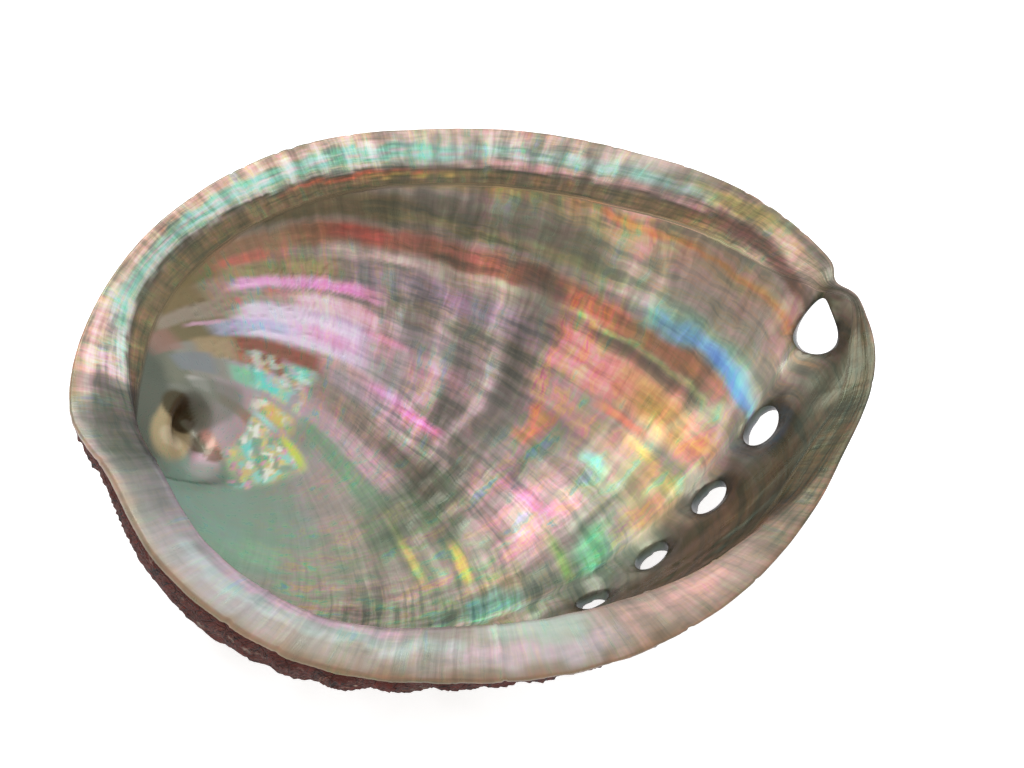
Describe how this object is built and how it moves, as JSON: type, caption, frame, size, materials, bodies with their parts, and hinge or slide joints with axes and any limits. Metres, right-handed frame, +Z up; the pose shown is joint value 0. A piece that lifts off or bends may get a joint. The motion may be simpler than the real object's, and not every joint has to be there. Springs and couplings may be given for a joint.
{
  "type": "abalone shell",
  "caption": "Ear-shaped abalone shell lying on its back, with a pearly bowl, a flat inner lip, a spire pit and a row of breathing holes.",
  "frame": {"origin": "middle of the shell's box, at the surface it lies on", "axes": "+X to the shell's front end, where the newest breathing hole opens, +Y to its growing outer lip, +Z up, out of the mouth"},
  "size_m": [0.1674, 0.1212, 0.0447],
  "materials": {
    "shell": "polished mother-of-pearl inside, rough limy red-brown crust outside"
  },
  "bodies": {
    "root": {"shell": "shell"}
  },
  "joints": []
}
